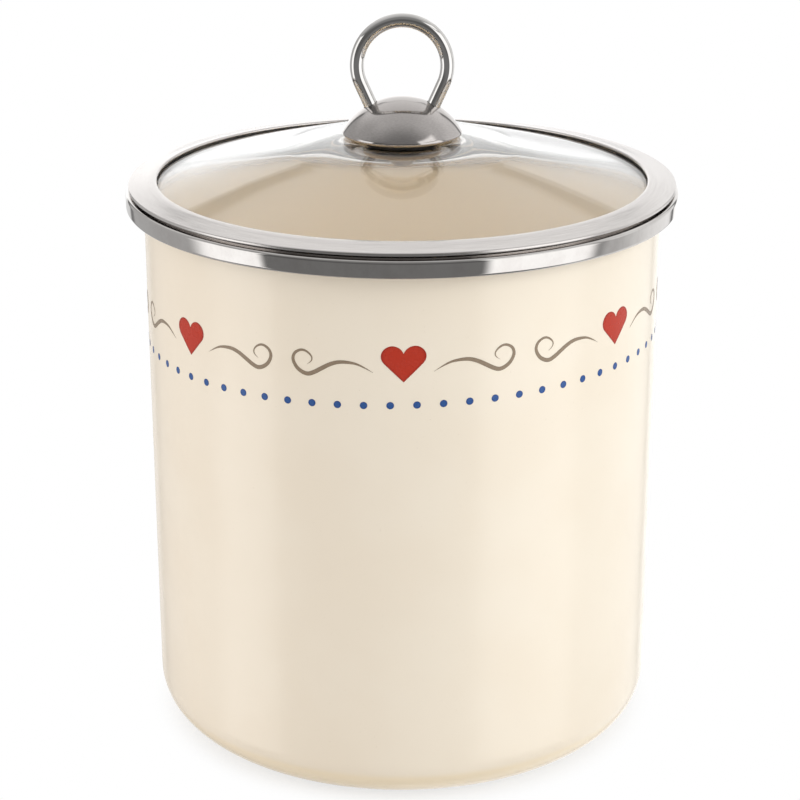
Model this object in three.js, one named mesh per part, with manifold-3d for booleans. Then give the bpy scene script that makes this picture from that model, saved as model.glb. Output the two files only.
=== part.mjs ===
// Enamel storage container with a domed glass lid and a ring knob.
// Millimetres, +Z up. The origin is on the table, under the centre of the base.

import * as THREE from 'three';
import { mergeVertices } from 'three/addons/utils/BufferGeometryUtils.js';
import Module from 'manifold-3d';

const wasm = await Module();
wasm.setup();

// Clearances
const fitGap = 0.3; // between hard pieces that nest in one another
const beddingGap = 0.1; // on each side of the soft seal and gaskets
const cutOverrun = 2; // how far a cutting solid runs past what it cuts

// Enamelled body
const bodyRadius = 80; // outside of the wall
const bodySheet = 1.2; // steel with its enamel on both sides
const baseCornerRadius = 14; // outside, from the base up into the wall
const baseFootWidth = 6; // flat ring that the body stands on
const baseDipWidth = 6; // sloping ring between the foot and the recess
const baseRecess = 1; // how far the middle of the base stands off the table
const rimHeight = 174.2; // top of the rim band, where the lid rests
const rimOverhang = 4.6; // how far the turned rim stands out from the wall
const rimBendRadius = 1.2; // outside of the wall into the underside of the rim
const rimHookRadius = 0.8; // inside of the rim's downturn

// Stainless band rolled over the turned rim
const bandSheet = 0.5;
const bandHeight = 5.5;
const bandTopWidth = 4.8;
const bandBendRadius = 1.1;

// Stainless ring of the lid
const lidSheet = 0.5;
const lidEdgeInset = 0.8; // the folded edge stays this far inside the rim band's outside
const lidPlateRise = 1.3; // how far the plate climbs from the edge to the glass
const hemWidth = 3; // how far the edge is folded back under the plate
const hemClearance = 0.1; // between the two layers of the folded edge
const hemInnerBend = 0.03; // inside of the fold
const hemLift = 0.55; // underside of the folded edge, above the underside of the ring
const lidLipBendRadius = 0.55; // where the plate turns down onto the glass
const glassCover = 0.8; // how far the plate covers the edge of the glass
const skirtClearance = 0.9; // between the skirt and the mouth of the body
const skirtBendRadius = 0.6;
const beadDepth = 1.5; // inward bead of the skirt that holds the seal and the glass up
const beadHeight = 3;
const skirtTail = 1; // straight end of the skirt below the bead

// Glass and the seal round its edge
const sealWall = 0.6;
const sealFoot = 0.4; // height of the seal between the ring's lip and the glass
const glassThickness = 4;
const glassSeatRadius = 16; // flat middle that carries the knob
const glassBendRadius = 80; // from the flat middle down into the cone
const glassSlope = THREE.MathUtils.degToRad(14.65); // of the cone between the bend and the edge
const glassHoleClearance = 0.5; // between the hole and the neck that goes down into it

// Dome of the knob, a cap of a sphere
const knobSphereRadius = 21.4;
const knobCutHeight = 9.7; // from the middle of the sphere up to the open base
const knobSheet = 0.8;
const knobEdgeBendRadius = 0.85;
const knobLipWidth = 3.5; // base edge turned in between the core and the gasket

// Finger ring, a bent round rod
const rodRadius = 2.15;
const ringRadius = 13.8; // to the middle of the rod
const legFootRadius = 9.75; // where a leg's middle meets the dome
const legStraight = 6.97; // straight length of a leg between the dome and the ring's arc
const legInsertion = 6; // length of leg inside the dome

// Core block inside the dome
const coreClearance = 1.1; // between the core and the inside of the dome
const coreShoulderHeight = 0.5;
const coreTopRadius = 8;
const bossRadius = 3.5; // neck that goes down into the hole of the glass
const bossDepth = 2; // how far the neck reaches below the crown of the glass
const threadDepth = 8;

// Gaskets, cup washer and screw
const upperGasketRadius = 15.5;
const upperGasketThickness = 0.5;
const lowerGasketRadius = 11;
const lowerGasketThickness = 1.2;
const washerSheet = 0.8;
const washerBendRadius = 0.5; // inside of the cup's corner, which the gasket's bevel clears
const screwRadius = 2;
const screwHeadRadius = 4.2;
const screwHeadHeight = 2.6;
const screwHeadEdge = 1; // straight side of the head
const recessLength = 3.6; // cross recess
const recessWidth = 1;
const recessDepth = 1.4;

const bendShare = 0.98; // most of a side that its bends use up

// Fineness of the faceted surfaces
const bodyFacets = 52;
const knobFacets = 32;
const smallFacets = 24;
const rodFacets = 12;
const rodSteps = 36;
const bendSteps = 4;
const domeSteps = 8;

// Heights and radii that follow from the sizes above
const lidBase = rimHeight + fitGap;
const bandRadius = bodyRadius + rimOverhang + fitGap + bandSheet;
const lidRadius = bandRadius - lidEdgeInset;
const mouthRadius = bodyRadius - bodySheet;
const skirtRadius = mouthRadius - skirtClearance;
const sealRadius = skirtRadius - lidSheet - beddingGap;
const glassRadius = sealRadius - sealWall - beddingGap;
const glassOpeningRadius = glassRadius - glassCover;
const glassHoleRadius = bossRadius + glassHoleClearance;
const hemBottom = lidBase + hemLift;
const plateEdgeTop = hemBottom + 2 * lidSheet + hemClearance;
const plateLipTop = plateEdgeTop + lidPlateRise;
const plateSlope = lidPlateRise / (lidRadius - glassOpeningRadius);
const hemRadius = lidRadius - hemWidth;
const sealTop = plateEdgeTop + plateSlope * (lidRadius - sealRadius) - lidSheet - beddingGap;
const glassEdgeTop = sealTop - sealWall - beddingGap;
const glassBendCentre = glassEdgeTop + (glassRadius - glassSeatRadius) * Math.tan(glassSlope)
  - glassBendRadius / Math.cos(glassSlope);
const glassCrown = glassBendCentre + glassBendRadius;
const knobBase = glassCrown + upperGasketThickness + 2 * beddingGap;
const knobSphereCentre = knobBase - knobCutHeight;
const coreBase = knobBase + knobSheet + fitGap;
const coreRadius = knobRadius(coreBase + coreShoulderHeight) - knobSheet - coreClearance;
const coreTop = knobHeight(coreTopRadius) - knobSheet - coreClearance;
const legFootDrop = Math.sqrt(ringRadius ** 2 + legStraight ** 2 - legFootRadius ** 2);
const ringCentre = knobHeight(legFootRadius) + legFootDrop;
const lowerGasketTop = glassCrown - glassThickness - beddingGap;
const lowerGasketBottom = lowerGasketTop - lowerGasketThickness;
const washerTop = lowerGasketBottom - beddingGap;
const screwSeat = washerTop - washerSheet - beddingGap;

// Height of the glass's cone, grown or shrunk by an offset, at a distance from the axis
function coneHeight(radius, offset) {
  const reach = (glassBendRadius + offset) / Math.cos(glassSlope);
  return glassBendCentre + reach - (radius - glassSeatRadius) * Math.tan(glassSlope);
}

// Height of the knob's sphere at a distance from the axis
function knobHeight(radius) {
  return knobSphereCentre + Math.sqrt(knobSphereRadius ** 2 - radius ** 2);
}

// Distance from the axis at which the knob's sphere has a height
function knobRadius(height) {
  return Math.sqrt(knobSphereRadius ** 2 - (height - knobSphereCentre) ** 2);
}

// Length of a corner's side that a bend may use up, half as much where the next corner has a bend too
function bendRoom(corner, [radius, height, bend = 0]) {
  const room = bendShare * corner.distanceTo(new THREE.Vector2(radius, height));
  return bend === 0 ? room : room / 2;
}

// Polyline through [radius, height, bend radius] corners, with each bend as a short arc
function bentPath(corners, arcSteps = 3) {
  const path = [];
  corners.forEach(([radius, height, bend = 0], index) => {
    const corner = new THREE.Vector2(radius, height);
    if (bend === 0) {
      path.push(corner);
      return;
    }
    const before = new THREE.Vector2(...corners[index - 1].slice(0, 2)).sub(corner).normalize();
    const after = new THREE.Vector2(...corners[index + 1].slice(0, 2)).sub(corner).normalize();
    const halfAngle = Math.acos(THREE.MathUtils.clamp(before.dot(after), -1, 1)) / 2;
    const bisector = before.clone().add(after).normalize();
    const room = Math.min(bendRoom(corner, corners[index - 1]), bendRoom(corner, corners[index + 1]));
    const tangent = Math.min(bend / Math.tan(halfAngle), room);
    const centre = corner.clone().addScaledVector(bisector, tangent / Math.cos(halfAngle));
    const start = corner.clone().addScaledVector(before, tangent).sub(centre);
    const end = corner.clone().addScaledVector(after, tangent).sub(centre);
    const sweep = Math.atan2(start.cross(end), start.dot(end));
    for (let step = 0; step <= arcSteps; step += 1) {
      path.push(start.clone().rotateAround(new THREE.Vector2(), (sweep * step) / arcSteps).add(centre));
    }
  });
  return path;
}

// Closed outline of a sheet whose visible face is the path, with the sheet on its right-hand side
function sheetOutline(path, thickness) {
  const back = path.map((point, index) => {
    const before = path[Math.max(index - 1, 0)];
    const after = path[Math.min(index + 1, path.length - 1)];
    const into = (index > 0 ? point.clone().sub(before) : after.clone().sub(point)).normalize();
    const out = (index < path.length - 1 ? after.clone().sub(point) : point.clone().sub(before)).normalize();
    const mitre = into.clone().add(out).normalize();
    const normal = new THREE.Vector2(mitre.y, -mitre.x);
    const reach = thickness / normal.dot(new THREE.Vector2(into.y, -into.x));
    const offset = point.clone().addScaledVector(normal, reach);
    if (point.x === 0) {
      offset.set(0, point.y - Math.sign(out.x) * thickness);
    }
    return offset;
  });
  return [...path, ...back.reverse()];
}

// One face of the glass, grown or shrunk by an offset, from its hole out to its edge
function glassFace(offset) {
  const bend = Array.from({ length: bendSteps + 1 }, (_, step) => {
    const angle = (glassSlope * step) / bendSteps;
    const radius = glassSeatRadius + (glassBendRadius + offset) * Math.sin(angle);
    return new THREE.Vector2(radius, glassBendCentre + (glassBendRadius + offset) * Math.cos(angle));
  });
  const hole = new THREE.Vector2(glassHoleRadius, glassCrown + offset);
  return [hole, ...bend, new THREE.Vector2(glassRadius, coneHeight(glassRadius, offset))];
}

// Merged triangles facing out, with the slivers that collapse on the axis left out
function closedGeometry(source) {
  const bare = source.index ? source.toNonIndexed() : source.clone();
  bare.deleteAttribute('normal');
  bare.deleteAttribute('uv');
  const merged = mergeVertices(bare);
  const position = merged.attributes.position;
  const corner = Array.from(merged.index.array);
  const triangles = [];
  let volume = 0;
  for (let first = 0; first < corner.length; first += 3) {
    const [a, b, c] = corner.slice(first, first + 3);
    if (a !== b && b !== c && c !== a) {
      triangles.push([a, b, c]);
      const [u, v, w] = [a, b, c].map((vertex) => new THREE.Vector3().fromBufferAttribute(position, vertex));
      volume += u.dot(v.cross(w));
    }
  }
  const facing = volume < 0 ? triangles.map(([a, b, c]) => [a, c, b]) : triangles;
  merged.setIndex(facing.flat());
  return merged;
}

// Solid of revolution about +Z; an outline that leaves the axis closes on itself
function turned(outline, facets) {
  const onAxis = outline[0].x === 0 && outline[outline.length - 1].x === 0;
  const profile = onAxis ? outline : [...outline, outline[0]];
  return closedGeometry(new THREE.LatheGeometry(profile, facets).rotateX(Math.PI / 2));
}

function toSolid(geometry) {
  const vertProperties = new Float32Array(geometry.attributes.position.array);
  const triVerts = new Uint32Array(geometry.index.array);
  return new wasm.Manifold(new wasm.Mesh({ numProp: 3, vertProperties, triVerts }));
}

function cut(geometry, cutters) {
  const result = cutters.reduce((solid, cutter) => solid.subtract(toSolid(cutter)), toSolid(geometry));
  const { vertProperties, triVerts } = result.getMesh();
  const cutGeometry = new THREE.BufferGeometry();
  cutGeometry.setAttribute('position', new THREE.BufferAttribute(vertProperties, 3));
  cutGeometry.setIndex(new THREE.BufferAttribute(triVerts, 1));
  return cutGeometry;
}

// The finger ring's middle line: up one leg, round the ring and down the other leg
class RingPath extends THREE.Curve {
  constructor(insertion) {
    super();
    this.dip = Math.atan2(legFootDrop, legFootRadius) - Math.atan2(legStraight, ringRadius);
    this.legLength = legStraight + insertion;
    this.arcLength = ringRadius * (Math.PI + 2 * this.dip);
  }

  // Point of the right-hand leg at a distance below the ring's arc
  legPoint(distance) {
    const across = ringRadius * Math.cos(this.dip) - distance * Math.sin(this.dip);
    const height = ringCentre - ringRadius * Math.sin(this.dip) - distance * Math.cos(this.dip);
    return new THREE.Vector3(across, 0, height);
  }

  getPoint(share, target = new THREE.Vector3()) {
    const travelled = share * (2 * this.legLength + this.arcLength) - this.legLength;
    if (travelled < 0) {
      return target.copy(this.legPoint(-travelled));
    }
    if (travelled > this.arcLength) {
      return target.copy(this.legPoint(travelled - this.arcLength)).multiply(new THREE.Vector3(-1, 1, 1));
    }
    const angle = travelled / ringRadius - this.dip;
    return target.set(ringRadius * Math.cos(angle), 0, ringCentre + ringRadius * Math.sin(angle));
  }
}

// Straight bores round both legs of the finger ring, down to a clearance past their ends
function legBores() {
  const path = new RingPath(legInsertion);
  const top = path.legPoint(0);
  const bottom = path.legPoint(path.legLength + fitGap);
  const boreRadius = rodRadius + fitGap;
  const bore = new THREE.CylinderGeometry(boreRadius, boreRadius, top.distanceTo(bottom), rodFacets);
  bore.rotateX(Math.PI / 2);
  bore.lookAt(top.clone().sub(bottom));
  const middle = top.clone().add(bottom).divideScalar(2);
  bore.translate(middle.x, middle.y, middle.z);
  const mirrored = bore.clone().rotateZ(Math.PI);
  return [closedGeometry(bore), closedGeometry(mirrored)];
}

function enamelBodyGeometry() {
  const footRadius = bodyRadius - baseCornerRadius - baseFootWidth;
  const rimUnderside = rimHeight - bandSheet - fitGap - bodySheet;
  const rimTip = rimHeight - bandHeight + bandSheet + fitGap;
  const hookRadius = bodyRadius + rimOverhang - bodySheet;
  const outside = bentPath([
    [hookRadius, rimTip],
    [hookRadius, rimUnderside, rimHookRadius],
    [bodyRadius, rimUnderside, rimBendRadius],
    [bodyRadius, baseCornerRadius],
  ], 2);
  const corner = bentPath([
    [bodyRadius, rimUnderside],
    [bodyRadius, 0, baseCornerRadius],
    [footRadius, 0],
  ], 6).slice(2);
  const base = bentPath([
    [footRadius - baseDipWidth, baseRecess],
    [0, baseRecess],
  ]);
  return turned(sheetOutline([...outside, ...corner, ...base], bodySheet), bodyFacets);
}

function rimBandGeometry() {
  const path = bentPath([
    [bandRadius - bandTopWidth, rimHeight],
    [bandRadius, rimHeight, bandBendRadius],
    [bandRadius, rimHeight - bandHeight, bandBendRadius],
    [bodyRadius + fitGap, rimHeight - bandHeight],
  ], 2);
  return turned(sheetOutline(path, bandSheet), bodyFacets);
}

function lidRingGeometry() {
  const hemBend = lidSheet + hemInnerBend;
  const beadTop = sealBottom() - beddingGap - lidSheet;
  const path = bentPath([
    [glassOpeningRadius, footTop() + beddingGap],
    [glassOpeningRadius, plateLipTop, lidLipBendRadius],
    [lidRadius, plateEdgeTop, hemBend],
    [lidRadius, hemBottom, hemBend],
    [hemRadius, hemBottom],
    [hemRadius, lidBase],
    [skirtRadius, lidBase, skirtBendRadius],
    [skirtRadius, beadTop],
    [skirtRadius - beadDepth, beadTop - beadHeight / 2],
    [skirtRadius, beadTop - beadHeight],
    [skirtRadius, beadTop - beadHeight - skirtTail],
  ], 2);
  return turned(sheetOutline(path, lidSheet), bodyFacets);
}

function lidGlassGeometry() {
  return turned([...glassFace(0), ...glassFace(-glassThickness).reverse()], bodyFacets);
}

function sealBottom() {
  return coneHeight(glassRadius, -glassThickness) - beddingGap - sealWall;
}

// Top of the seal's foot, which lies between the ring's lip and the glass
function footTop() {
  return coneHeight(glassOpeningRadius, beddingGap) + sealFoot;
}

// Channel round the edge of the glass, open towards the middle of the lid
function glassSealGeometry() {
  const lipInside = glassOpeningRadius + lidSheet + beddingGap;
  const channelRadius = sealRadius - sealWall;
  const outline = [
    [lipInside, sealTop],
    [sealRadius, sealTop],
    [sealRadius, sealBottom()],
    [lipInside, sealBottom()],
    [lipInside, sealBottom() + sealWall],
    [channelRadius, sealBottom() + sealWall],
    [channelRadius, sealTop - sealWall],
    [glassOpeningRadius, coneHeight(glassOpeningRadius, beddingGap)],
    [glassOpeningRadius, footTop()],
    [lipInside, footTop()],
  ];
  return turned(outline.map(([radius, height]) => new THREE.Vector2(radius, height)), bodyFacets);
}

function knobShellGeometry() {
  const edgeAngle = Math.asin(knobCutHeight / knobSphereRadius);
  const dome = Array.from({ length: domeSteps }, (_, step) => {
    const angle = THREE.MathUtils.lerp(Math.PI / 2, edgeAngle, step / domeSteps);
    const radius = step === 0 ? 0 : knobSphereRadius * Math.cos(angle);
    return [radius, knobSphereCentre + knobSphereRadius * Math.sin(angle)];
  });
  const edgeRadius = knobRadius(knobBase);
  const path = bentPath([
    ...dome,
    [edgeRadius, knobBase, knobEdgeBendRadius],
    [edgeRadius - knobLipWidth, knobBase],
  ]);
  return cut(turned(sheetOutline(path, knobSheet), knobFacets), legBores());
}

function knobRingGeometry() {
  const section = new THREE.Shape().absarc(0, 0, rodRadius, 0, 2 * Math.PI);
  const extrudePath = new RingPath(legInsertion);
  const halfFacets = rodFacets / 2; // a full circle is divided into twice its curve segments
  const rod = new THREE.ExtrudeGeometry(section, { steps: rodSteps, curveSegments: halfFacets, extrudePath });
  return closedGeometry(rod);
}

function knobCoreGeometry() {
  const outline = [
    [0, coreTop],
    [coreTopRadius, coreTop],
    [coreRadius, coreBase + coreShoulderHeight],
    [coreRadius, coreBase],
    [bossRadius, coreBase],
    [bossRadius, glassCrown - bossDepth],
    [screwRadius + fitGap, glassCrown - bossDepth],
    [screwRadius + fitGap, glassCrown - bossDepth + threadDepth],
    [0, glassCrown - bossDepth + threadDepth],
  ];
  const block = turned(outline.map(([radius, height]) => new THREE.Vector2(radius, height)), smallFacets);
  return cut(block, legBores());
}

function upperGasketGeometry() {
  const outline = bentPath([
    [bossRadius + fitGap, knobBase - beddingGap],
    [upperGasketRadius, knobBase - beddingGap],
    [upperGasketRadius, glassCrown + beddingGap],
    [bossRadius + fitGap, glassCrown + beddingGap],
  ]);
  return turned(outline, knobFacets);
}

function lowerGasketGeometry() {
  const outline = bentPath([
    [screwRadius + fitGap, lowerGasketTop],
    [lowerGasketRadius, lowerGasketTop],
    [lowerGasketRadius, lowerGasketBottom + washerBendRadius],
    [lowerGasketRadius - washerBendRadius, lowerGasketBottom],
    [screwRadius + fitGap, lowerGasketBottom],
  ]);
  return turned(outline, knobFacets);
}

// Cup washer: a disc whose rim turns up round the lower gasket
function knobWasherGeometry() {
  const cupRadius = lowerGasketRadius + beddingGap + washerSheet;
  const outline = sheetOutline(bentPath([
    [cupRadius, washerTop + lowerGasketThickness / 2],
    [cupRadius, washerTop - washerSheet, washerBendRadius + washerSheet],
    [screwRadius + fitGap, washerTop - washerSheet],
  ], 2), washerSheet);
  return turned(outline, knobFacets);
}

function knobScrewGeometry() {
  const headBase = screwSeat - screwHeadHeight;
  const shankTop = glassCrown - bossDepth + threadDepth - fitGap;
  const outline = bentPath([
    [0, shankTop],
    [screwRadius, shankTop],
    [screwRadius, screwSeat],
    [screwHeadRadius, screwSeat],
    [screwHeadRadius, screwSeat - screwHeadEdge],
    [screwHeadRadius - (screwHeadHeight - screwHeadEdge), headBase],
    [0, headBase],
  ]);
  const slotHeight = recessDepth + cutOverrun;
  const slotCentre = headBase + recessDepth - slotHeight / 2;
  const slots = [0, Math.PI / 2].map((turn) => {
    const slot = new THREE.BoxGeometry(recessLength, recessWidth, slotHeight);
    return closedGeometry(slot.rotateZ(turn).translate(0, 0, slotCentre));
  });
  return cut(turned(outline, smallFacets), slots);
}

function piece(name, geometry, color, roughness, metalness) {
  geometry.computeVertexNormals();
  const mesh = new THREE.Mesh(geometry, new THREE.MeshStandardMaterial({ color, roughness, metalness }));
  mesh.name = name;
  return mesh;
}

const glass = piece('lid_glass', lidGlassGeometry(), 0xdfe8e4, 0.03, 0);
glass.material.transparent = true;
glass.material.opacity = 0.35;

const container = new THREE.Group();
container.add(piece('enamel_body', enamelBodyGeometry(), 0xeee0cb, 0.18, 0));
container.add(piece('rim_band', rimBandGeometry(), 0xb9b4b0, 0.12, 1));

const lid = new THREE.Group();
lid.add(glass);
lid.add(piece('lid_ring', lidRingGeometry(), 0xc4bfbb, 0.28, 1));
lid.add(piece('glass_seal', glassSealGeometry(), 0x3c3a38, 0.7, 0));
lid.add(piece('knob_shell', knobShellGeometry(), 0xa8a19d, 0.3, 1));
lid.add(piece('knob_ring', knobRingGeometry(), 0xb5b1ae, 0.1, 1));
lid.add(piece('knob_core', knobCoreGeometry(), 0x8f8c8a, 0.45, 1));
lid.add(piece('upper_gasket', upperGasketGeometry(), 0x3c3a38, 0.7, 0));
lid.add(piece('lower_gasket', lowerGasketGeometry(), 0x3c3a38, 0.7, 0));
lid.add(piece('knob_washer', knobWasherGeometry(), 0xb0acaa, 0.25, 1));
lid.add(piece('knob_screw', knobScrewGeometry(), 0xa5a2a0, 0.3, 1));

const enamelContainer = new THREE.Group();
enamelContainer.add(container, lid);

export default enamelContainer;
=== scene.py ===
import math

import bmesh
import bpy
from mathutils import Matrix, Vector


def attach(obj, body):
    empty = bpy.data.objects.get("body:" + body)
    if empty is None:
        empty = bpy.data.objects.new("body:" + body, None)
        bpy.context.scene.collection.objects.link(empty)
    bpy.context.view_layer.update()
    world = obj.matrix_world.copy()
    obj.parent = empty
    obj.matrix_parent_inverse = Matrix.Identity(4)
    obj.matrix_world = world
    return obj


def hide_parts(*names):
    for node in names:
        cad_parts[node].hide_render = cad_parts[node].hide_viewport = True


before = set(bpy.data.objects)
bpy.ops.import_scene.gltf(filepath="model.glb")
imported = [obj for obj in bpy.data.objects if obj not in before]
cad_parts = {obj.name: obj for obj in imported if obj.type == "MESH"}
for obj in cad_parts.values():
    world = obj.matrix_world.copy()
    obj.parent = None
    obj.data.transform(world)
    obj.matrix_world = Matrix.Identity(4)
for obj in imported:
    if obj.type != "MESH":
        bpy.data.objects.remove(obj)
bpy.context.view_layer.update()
scene = bpy.context.scene

MM = 0.001

# Clearances, millimetres
fit_gap = 0.3
bedding_gap = 0.1

# Enamelled body, millimetres
body_radius = 80
body_sheet = 1.2
base_corner_radius = 14
base_foot_width = 6
base_dip_width = 6
base_dip_bend = 2.5
base_recess = 1
rim_height = 174.2
rim_overhang = 4.6
rim_bend_radius = 1.2
rim_hook_radius = 0.8

# Stainless band rolled over the rim, millimetres
band_sheet = 0.5
band_height = 5.5
band_top_width = 4.8
band_bend_radius = 1.1

# Stainless ring of the lid, millimetres
lid_sheet = 0.5
lid_edge_inset = 0.8
lid_plate_rise = 1.3
plate_step_width = 3
plate_step_depth = 0.12
hem_width = 3
hem_clearance = 0.1
hem_inner_bend = 0.03
hem_lift = 0.55
lid_lip_bend = 0.55
glass_cover = 0.8
skirt_clearance = 0.9
skirt_bend = 0.6
bead_depth = 1.5
bead_height = 3
bead_bend = 1.1
skirt_tail = 1

# Glass and its seal, millimetres
seal_wall = 0.6
seal_foot = 0.4
glass_thickness = 4
glass_seat_radius = 16
glass_bend_radius = 80
glass_slope = math.radians(14.65)
glass_arris = 0.4

# Knob, millimetres
knob_sphere_radius = 21.4
knob_cut_height = 9.7
knob_sheet = 0.8
knob_edge_bend = 0.85
knob_edge_rise = 1.4
knob_lip_width = 3.5
rod_radius = 2.15
ring_radius = 13.8
leg_foot_radius = 9.75
leg_straight = 6.97
leg_insertion = 6
boss_radius = 3.5
glass_hole_clearance = 0.5
upper_gasket_radius = 15.5
upper_gasket_thickness = 0.5
lower_gasket_radius = 11
lower_gasket_thickness = 1.2
washer_sheet = 0.8
washer_bend = 0.5
screw_radius = 2
screw_head_radius = 4.2
screw_head_height = 2.6
screw_head_edge = 1
recess_length = 3.6
recess_width = 1
recess_depth = 1.4
boss_depth = 2
thread_depth = 8

# Printed border, millimetres
print_proud = 0.05
print_sunk = 0.05
heart_count = 7
heart_height = 142.5
dot_count = 66
dot_height = 128.95
dot_radius = 1.1
scroll_tip_width = 0.06
print_tilt_side = 1.98
print_tilt_front = 1.08
print_shift = 0.45

# Fineness of the surfaces
body_segments = 256
knob_segments = 160
screw_segments = 96
wall_steps = 40
corner_steps = 24
band_steps = 12
sheet_steps = 8
glass_steps = 16
dome_steps = 40
lip_steps = 10
screw_steps = 6
edge_steps = 4
rod_facets = 48
rod_steps = 220
heart_rings = 4
dot_rings = 2
dot_facets = 20
scroll_steps = 6
merge_distance = 0.0001
sharp_edge = math.radians(32)

# Heights and radii that follow, millimetres
lid_base = rim_height + fit_gap
band_radius = body_radius + rim_overhang + fit_gap + band_sheet
lid_radius = band_radius - lid_edge_inset
mouth_radius = body_radius - body_sheet
skirt_radius = mouth_radius - skirt_clearance
seal_radius = skirt_radius - lid_sheet - bedding_gap
glass_radius = seal_radius - seal_wall - bedding_gap
glass_opening_radius = glass_radius - glass_cover
glass_hole_radius = boss_radius + glass_hole_clearance
hem_bottom = lid_base + hem_lift
hem_radius = lid_radius - hem_width
plate_edge_top = hem_bottom + 2 * lid_sheet + hem_clearance
plate_lip_top = plate_edge_top + lid_plate_rise
plate_slope = lid_plate_rise / (lid_radius - glass_opening_radius)
seal_top = plate_edge_top + plate_slope * (lid_radius - seal_radius) - lid_sheet - bedding_gap
glass_edge_top = seal_top - seal_wall - bedding_gap
glass_bend_centre = (
    glass_edge_top + (glass_radius - glass_seat_radius) * math.tan(glass_slope)
    - glass_bend_radius / math.cos(glass_slope)
)
glass_crown = glass_bend_centre + glass_bend_radius
knob_base = glass_crown + upper_gasket_thickness + 2 * bedding_gap
knob_sphere_centre = knob_base - knob_cut_height


def cone_height(radius, offset):
    """Height of the glass's cone, grown or shrunk by an offset, at a distance from the axis."""
    reach = (glass_bend_radius + offset) / math.cos(glass_slope)
    return glass_bend_centre + reach - (radius - glass_seat_radius) * math.tan(glass_slope)


def knob_height(radius):
    """Height of the knob's sphere at a distance from the axis."""
    return knob_sphere_centre + math.sqrt(knob_sphere_radius ** 2 - radius ** 2)


seal_bottom = cone_height(glass_radius, -glass_thickness) - bedding_gap - seal_wall
foot_top = cone_height(glass_opening_radius, bedding_gap) + seal_foot
lower_gasket_top = glass_crown - glass_thickness - bedding_gap
lower_gasket_bottom = lower_gasket_top - lower_gasket_thickness
washer_top = lower_gasket_bottom - bedding_gap
screw_seat = washer_top - washer_sheet - bedding_gap
leg_foot_drop = math.sqrt(ring_radius ** 2 + leg_straight ** 2 - leg_foot_radius ** 2)
ring_centre = knob_height(leg_foot_radius) + leg_foot_drop
ring_dip = math.atan2(leg_foot_drop, leg_foot_radius) - math.atan2(leg_straight, ring_radius)


# Outlines

def circle(count):
    """Cosine and sine of evenly spaced angles, once round."""
    angles = [2 * math.pi * step / count for step in range(count)]
    return [(math.cos(angle), math.sin(angle)) for angle in angles]


def bent_path(corners, steps=sheet_steps, closed=False):
    """Polyline through (radius, height, bend) corners, with each bend as an arc."""
    path = []
    for index, corner in enumerate(corners):
        here = Vector(corner[:2])
        bend = corner[2] if len(corner) > 2 else 0
        if bend == 0:
            path.append(here)
            continue
        following = corners[(index + 1) % len(corners)] if closed else corners[index + 1]
        before = (Vector(corners[index - 1][:2]) - here).normalized()
        after = (Vector(following[:2]) - here).normalized()
        half_angle = before.angle(after) / 2
        centre = here + (before + after).normalized() * (bend / math.sin(half_angle))
        start = here + before * (bend / math.tan(half_angle)) - centre
        end = here + after * (bend / math.tan(half_angle)) - centre
        sweep = start.angle_signed(end)
        for step in range(steps + 1):
            turned = start.copy()
            turned.rotate(Matrix.Rotation(-sweep * step / steps, 2))
            path.append(centre + turned)
    return path


def sheet_outline(path, thickness):
    """Closed outline of a sheet whose visible face is the path, with the sheet on its right-hand side."""
    back = []
    for index, point in enumerate(path):
        before = path[max(index - 1, 0)]
        after = path[min(index + 1, len(path) - 1)]
        into = (point - before if index > 0 else after - point).normalized()
        out = (after - point if index < len(path) - 1 else point - before).normalized()
        mitre = (into + out).normalized()
        normal = Vector((mitre.y, -mitre.x))
        reach = thickness / normal.dot(Vector((into.y, -into.x)))
        offset = point + normal * reach
        if point.x == 0:
            offset = Vector((0, point.y - math.copysign(thickness, out.x)))
        back.append(offset)
    return path + back[::-1]


def glass_face(offset):
    """One face of the glass, grown or shrunk by an offset, from its hole out to its edge."""
    face = [Vector((glass_hole_radius + glass_arris, glass_crown + offset))]
    for step in range(glass_steps + 1):
        angle = glass_slope * step / glass_steps
        radius = glass_seat_radius + (glass_bend_radius + offset) * math.sin(angle)
        face.append(Vector((radius, glass_bend_centre + (glass_bend_radius + offset) * math.cos(angle))))
    edge_radius = glass_radius - glass_arris
    return [*face, Vector((edge_radius, cone_height(edge_radius, offset)))]


# Meshes

def finish_mesh(name, mesh_data, body, material, replaced=()):
    """Closed, smooth-shaded piece in metres, riding on its body."""
    bmesh.ops.remove_doubles(mesh_data, verts=mesh_data.verts, dist=merge_distance)
    bmesh.ops.recalc_face_normals(mesh_data, faces=mesh_data.faces)
    bmesh.ops.scale(mesh_data, vec=(MM, MM, MM), verts=mesh_data.verts)
    mesh = bpy.data.meshes.new(name)
    mesh_data.to_mesh(mesh)
    mesh_data.free()
    mesh.shade_smooth()
    mesh.set_sharp_from_angle(angle=sharp_edge)
    mesh.materials.append(material)
    piece = bpy.data.objects.new(name, mesh)
    scene.collection.objects.link(piece)
    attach(piece, body)
    if replaced:
        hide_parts(*replaced)
    return piece


def join_rows(mesh_data, first, second):
    """Strip of faces between two rows of as many vertices."""
    for index in range(len(first) - 1):
        mesh_data.faces.new((first[index], first[index + 1], second[index + 1], second[index]))


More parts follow.
